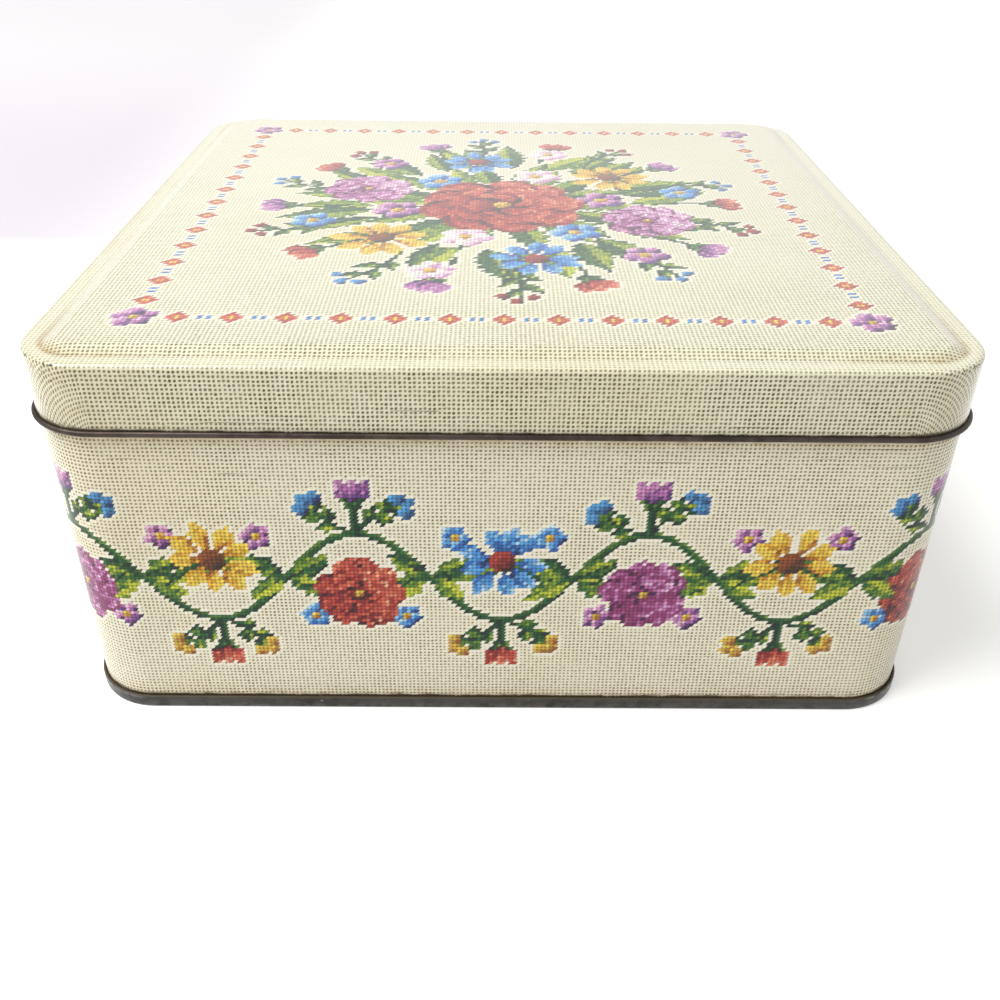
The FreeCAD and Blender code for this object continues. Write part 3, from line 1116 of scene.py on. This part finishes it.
# body wall: hook in the seam, plain wall with a lock seam at the back, inward curl at the top
wall = {
    "top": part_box("body_wall")[1].z / mm,
    "seamHeight": 3.3,
    "hookClearance": 0.2,
    "curl": 1.8,
    "curlTurn": 300.0,
    "hookRows": 3,
    "curlRows": 8,
    "cells": (178, 26),
    "rowPitch": 0.925,
    "stitchedFrom": 8.0,
    "stitchedRows": 68,
    "ledge": 0.3,  # height of the first row above the seam
    "footRows": (4.6, 5.4, 6.6),  # heights of the rows below and above the stitched ones
    "headRows": (73.0, 74.6, 75.4, 76.2, 84.0),
    "insideRows": (30.0, 60.0),
    "lockAt": 70.0,
    "lockClearance": 0.7,
    "lockStep": 0.05,
    "groove": ((-0.45, -0.2, 0.0, 0.2, 1.7), (0, 0.08, 0.6, 0.8, 0)),  # across the lock, and how deep
    "ridge": ((-3.9, -3.6, 0.3, 1.7), (0, 0.87, 0.87, 0)),
    "grimeSpread": 0.8,  # up from the seam
    "footToning": 0.4,
    "footToningSpread": 1.6,
    # painted shadow of the lid's bead on the wall, laid as toning and a little grime
    "underToningAndShade": 0.5,
    "underToningAndShadeAt": (-0.3, 1.6),  # middle and spread, up from the lid's bead
    "underGrimeAndShade": 0.5,
    "scuffUp": ((40, 66, 70, 74, 76), (0.2, 0.4, 1, 1, 0)),
}
lockLow = wall["seamHeight"] + wall["lockClearance"]
lockHigh = wall["top"] - wall["curl"] - wall["lockClearance"]


# Where the lock seam's folds shift the wall inward: a narrow groove outside and a low flat ridge inside.
def lockShift(columns, height, places, depths):
    wallCells, cornerCells = wall["cells"]
    local = columns - 2 * (wallCells + cornerCells)
    across = (1 - 2 * local / wallCells) * straight - wall["lockAt"]
    return np.interp(across, places, depths) * ((height > lockLow) & (height < lockHigh))


# Rows added to the long plain run of one face of the wall, between its foot and its curl.
def addRows(line, foot, heights):
    added = np.stack([np.full(len(heights), line[foot, 0]), heights], -1)
    return np.concatenate([line[: foot + 1], added, line[foot + 1 :]])


# Bake map of the wall, in one square: three of its sides as strips above each other, the fourth upright
# beside them, and the inner face as four low strips in the corner that is left.
def wallBake(columns, closed, outerRows, pitch):
    cellsPerSide = sum(wall["cells"])
    down = lengthAlong(closed)
    printedLength, plainLength = down[outerRows - 1], down[-1] - down[outerRows - 1]
    stripLength, stripHeight = cellsPerSide * pitch + 1, printedLength + 1
    square = stripLength + stripHeight + 1
    side = np.floor((columns[0, 1:] + columns[0, :-1]) / 2 / cellsPerSide)
    across = np.stack([columns[0, :-1], columns[0, :-1], columns[0, 1:], columns[0, 1:]], -1)
    across = (across - side[:, None] * cellsPerSide) * pitch
    deep = np.stack([down[:-1], down[1:], down[1:], down[:-1]], -1)
    across, deep = np.broadcast_arrays(across[None], deep[:, None])
    side = side[None, :, None]
    lying = np.stack([across, side * stripHeight + printedLength - deep], -1)
    upright = np.stack([stripLength + deep, across], -1)
    printed = np.where(side[..., None] < 3, lying, upright)
    shrink = (stripHeight - 2) / stripLength
    higher = (1 - (deep - printedLength) / plainLength) * (stripHeight / 4 - 1)
    plain = np.stack([stripLength + across * shrink, stripLength + side * stripHeight / 4 + higher], -1)
    onPrint = (np.arange(len(closed) - 1) < outerRows - 1)[:, None, None, None]
    return (np.where(onPrint, printed, plain) + 0.5) / square


# Wall: its closed profile carried round the tin, nearer by the lock seam's shift at the back.
def makeWall():
    wallCells, cornerCells = wall["cells"]
    around = 4 * sum(wall["cells"])
    pitch = 2 * straight / wallCells
    foldHeight = 2 * layer + sheet / 2
    hookRun = wall["seamHeight"] - sheet / 2 - layer - wall["hookClearance"] - foldHeight
    wallRun = wall["top"] - wall["curl"] / 2 - foldHeight
    moves = [
        (hookRun, 1, layer, -180, wall["hookRows"]),
        (wallRun, 1, (wall["curl"] - sheet) / 2, wall["curlTurn"], wall["curlRows"]),
    ]
    start = (tin["half"] - sheet / 2 + 2 * layer, foldHeight + hookRun)
    stitchRows = wall["stitchedFrom"] + wall["rowPitch"] * np.arange(wall["stitchedRows"] + 1)
    lockFoot = [lockLow - wall["lockStep"], lockLow + wall["lockStep"]]
    lockHead = [lockHigh - wall["lockStep"], lockHigh + wall["lockStep"]]
    lowRows = [wall["seamHeight"], wall["seamHeight"] + wall["ledge"], *lockFoot, *wall["footRows"]]
    highRows = [*wall["headRows"], *lockHead]
    insideRows = [*lockFoot, *wall["insideRows"], *lockHead]
    foot = wall["hookRows"] + 1
    outer = addRows(foldLine(start, -90, moves, -sheet / 2), foot, [*lowRows, *stitchRows, *highRows])
    inner = addRows(foldLine(start, -90, moves, sheet / 2), foot, insideRows)
    outer = outer[::-1]
    profile = np.concatenate([outer, inner])
    groove, ridge = wall["groove"], wall["ridge"]
    lockColumn = 2 * (wallCells + cornerCells) + (1 - wall["lockAt"] / straight) * wallCells / 2
    lockEdges = lockColumn - np.array(groove[0] + ridge[0]) / pitch
    columns = np.unique(np.concatenate([np.arange(around + 1), np.round(lockEdges, 4)]))[None]
    onOutside = np.abs(outer[:, :1] - tin["half"]) < tin["flush"]
    onInside = np.abs(inner[:, :1] - tin["half"] + sheet) < tin["flush"]
    shift = np.concatenate(
        [
            lockShift(columns, outer[:, 1:], *groove) * onOutside,
            lockShift(columns, inner[:, 1:], *ridge) * onInside,
        ]
    )
    ring = carryRound(columns, wall["cells"], profile, profile[:, :1] - shift, straight)
    count = columns.shape[1] - 1
    quads = ringQuads(len(profile) + 1, count) % (len(profile) * count)
    rowSlot = np.ones(len(profile))
    rowSlot[wall["curlRows"] : len(outer) - 1] = 0
    slots = np.repeat(rowSlot, count)
    piece = makePiece("printedWall", ring[:, :-1].reshape(-1, 3), quads, [], [wallPrint, insideMetal], slots)

    closed = np.concatenate([profile, profile[:1]])
    rows = (closed[:, 1] - wall["stitchedFrom"]) / wall["rowPitch"]
    places = np.stack(np.broadcast_arrays(columns, rows[:, None]), -1)
    stitchMap = addMap(piece, "stitchMap", ringCorners(places))
    stitchMap.active_render = True
    addMap(piece, "OFBake", wallBake(columns, closed, len(outer), pitch))

    chart = wallChart(around, wall["stitchedRows"], wallCells + cornerCells / 2, wall["stitchedRows"] / 2)
    stitches = chartThreads(chart)
    cellColumn = np.floor((columns[0, 1:] + columns[0, :-1]) / 2).astype(int)
    first = wall["curlRows"] + 1 + len(highRows)
    faces = []
    for shift in (0, 1, -1):
        whole = np.zeros((len(profile), count, 4))
        stitched = np.roll(stitches, shift, 0)[cellColumn].transpose(1, 0, 2)[::-1]
        whole[first : first + wall["stitchedRows"]] = stitched
        faces.append(whole)
    addThreads(piece, *faces)

    # grime above the seam, and a painted shadow under the lid's bead, where the wall is scuffed too
    above = np.clip(outer[:, 1] - wall["seamHeight"], 0, None)
    base = np.exp(-above / wall["grimeSpread"])
    stained = wall["footToning"] * np.exp(-above / wall["footToningSpread"])
    # painted shadow under the lid's bead, as toning and half as much grime
    under = wall["underToningAndShade"] * bell(outer[:, 1] - lid["bottom"], *wall["underToningAndShadeAt"])
    shares = {
        "toning": stained + under,
        "grime": base + wall["underGrimeAndShade"] * under,
        "scuff": np.interp(outer[:, 1], *wall["scuffUp"]),
    }
    addShares(piece, {name: np.repeat(share, count) for name, share in shares.items()})
    return piece


wallPiece = makeWall()
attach(wallPiece, "tin_body")
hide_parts("body_wall")

# bottom plate: sunk panel, chuck wall and the outer half of the double seam
bottom = {
    "recess": 2.6,
    "chuckBend": 0.8,
    "seamBend": 0.33,
    "cells": (40, 24),
    "rows": {"chuckBend": 6, "chuck": 2, "seamBend": 4, "face": 4, "fold": 8},
    "topFrom": (-0.6, -0.3),  # from the seam's top
    "ledgeTo": (0.74, 0.86),  # out from the wall, where the ledge ends in the seam's upper edge
    # rub on the seam's upper edge, most at the corners: worn metal and a painted highlight
    "edgeRub": (0.05, 0.8),
    "seamFace": 0.8,
    # painted reflection: the seam lighter towards its foot
    "footReflection": 0.16,
    "footReflectionUp": ((0.2, 2.4), (1, 0)),
}


# Bottom: its profile carried round the tin and closed by the two flat faces of the sunk panel.
def makeBottom():
    around = 4 * sum(bottom["cells"])
    chuckLine = tin["half"] - sheet / 2 - layer
    chuckRun = bottom["recess"] - bottom["chuckBend"] - bottom["seamBend"]
    foldHeight = wall["seamHeight"] - sheet / 2 - layer
    coverHook = foldHeight - (2 * layer + sheet / 2) - wall["hookClearance"]
    rows = bottom["rows"]
    moves = [
        (0, 0, bottom["chuckBend"], -90, rows["chuckBend"]),
        (chuckRun, rows["chuck"], bottom["seamBend"], 90, rows["seamBend"]),
        (4 * layer - 2 * bottom["seamBend"], 1, bottom["seamBend"], 90, rows["seamBend"]),
        (foldHeight - bottom["seamBend"] - sheet / 2, rows["face"], layer, 180, rows["fold"]),
        (coverHook, 1, 0, 0, 0),
    ]
    start = (chuckLine - bottom["chuckBend"], bottom["recess"] + sheet / 2)
    upper = foldLine(start, 0, moves, sheet / 2)
    lower = foldLine(start, 0, moves, -sheet / 2)
    profile = np.concatenate([upper, lower[::-1]])
    columns = np.arange(around, dtype=float)[None]
    ring = carryRound(columns, bottom["cells"], profile, profile[:, :1], straight)
    quads = ringQuads(len(profile), around)
    top = np.arange(around)
    under = ((len(profile) - 1) * around + np.arange(around))[::-1]
    rowSlot = np.zeros(len(profile) - 1)
    rowSlot[: rows["chuckBend"] + rows["chuck"]] = 1
    slots = np.concatenate([np.repeat(rowSlot, around), [1, 0]])
    metals = [seamMetal, insideMetal]
    piece = makePiece("seamedBottom", ring.reshape(-1, 3), quads, [top, under], metals, slots)

    # grime fills the ledge between the seam and the wall, the seam is lighter along its foot as a painted
    # reflection, and its upper edge is brighter at the corners, rubbed metal with a painted highlight
    outward = profile[:, 0] - tin["half"]
    onTop = np.interp(profile[:, 1], wall["seamHeight"] + np.array(bottom["topFrom"]), [0, 1])
    ledge = onTop * np.interp(outward, bottom["ledgeTo"], [1, 0])
    edge = onTop * np.interp(outward, bottom["ledgeTo"], [0, 1])
    turned = np.sin(2 * cornerTurn(columns[0], bottom["cells"]))
    footReflection = bottom["footReflection"] * np.interp(profile[:, 1], *bottom["footReflectionUp"])
    footReflection = footReflection * (outward > bottom["seamFace"])
    shares = {
        "grime": np.repeat(ledge, around),
        "rub": edge[:, None] * withWear(bottom["edgeRub"], turned) + footReflection[:, None],
    }
    addShares(piece, shares)
    return piece


bottomPiece = makeBottom()
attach(bottomPiece, "tin_body")
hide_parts("bottom_plate")
print("pieces made")

# pale table, a bright sky all round, and soft lamps: name, watts, side, place and where it points
studio = {
    "tableSide": 8,
    "roughness": 0.7,
    "floor": (0.92, 0.92, 0.905),
    "farFloor": (0.57, 0.535, 0.575),
    "farFrom": (0.21, 0.24),  # metres behind the tin, where the darker part begins
    "farFade": (0.8, 0.25, 0.6, 1.0),
    "farSide": (-0.05, -0.26),
    "floorLift": (0.41, 0.7),
    "liftReach": (0.4, 1.6),
    "sky": 0.4,
    "lamps": (
        ("overhead", 15.2, 0.7, (-0.6, -0.2, 1.1), (0, 0, 0.05)),
        ("front", 1.4, 1.4, (-0.5, -1.4, 0.8), (0, 0, 0.05)),
    ),
}


# 1 for the rays that show the background itself, and 0 for those that light the object.
def backgroundRays(tree):
    path = tree.nodes.new("ShaderNodeLightPath").outputs
    seen = calc("MAXIMUM", path["Is Camera Ray"], path["Is Glossy Ray"])
    return calc("MAXIMUM", seen, path["Is Transmission Ray"])


def makeStudio():
    material, tree, shader = newMaterial("paleTable")
    place = parts(objectPlace(tree))
    behind = ramp(place[1], *studio["farFrom"])
    far = times(behind, ramp(place[1], *studio["farFade"]))
    far = times(far, ramp(place[0], *studio["farSide"]))
    shade = mixColour(far, (*studio["floor"], 1), (*studio["farFloor"], 1))
    tree.links.new(shade, shader["Base Color"])
    tree.links.new(shade, shader["Emission Color"])
    shader["Roughness"].default_value = studio["roughness"]
    away = put("ShaderNodeVectorMath", objectPlace(tree), operation="LENGTH").node.outputs["Value"]
    lift = ramp(away, *studio["liftReach"], *studio["floorLift"])
    tree.links.new(times(backgroundRays(tree), lift), shader["Emission Strength"])
    bpy.ops.mesh.primitive_plane_add(size=studio["tableSide"])
    table = bpy.context.object
    table.data.materials.append(material)

    world = bpy.data.worlds.new("studio")
    world.use_nodes = True
    scene.world = world
    tree = world.node_tree
    background = tree.nodes["Background"]
    background.inputs["Color"].default_value = white
    level = timesPlus(backgroundRays(tree), 1 - studio["sky"], studio["sky"])
    tree.links.new(level, background.inputs["Strength"])

    for name, power, size, place, target in studio["lamps"]:
        data = bpy.data.lights.new(name, "AREA")
        data.energy = power
        data.size = size
        lamp = bpy.data.objects.new(name, data)
        lamp.location = place
        lamp.rotation_euler = (Vector(target) - Vector(place)).to_track_quat("-Z", "Y").to_euler()
        scene.collection.objects.link(lamp)


makeStudio()
scene.view_settings.view_transform = "Standard"
print("studio ready")
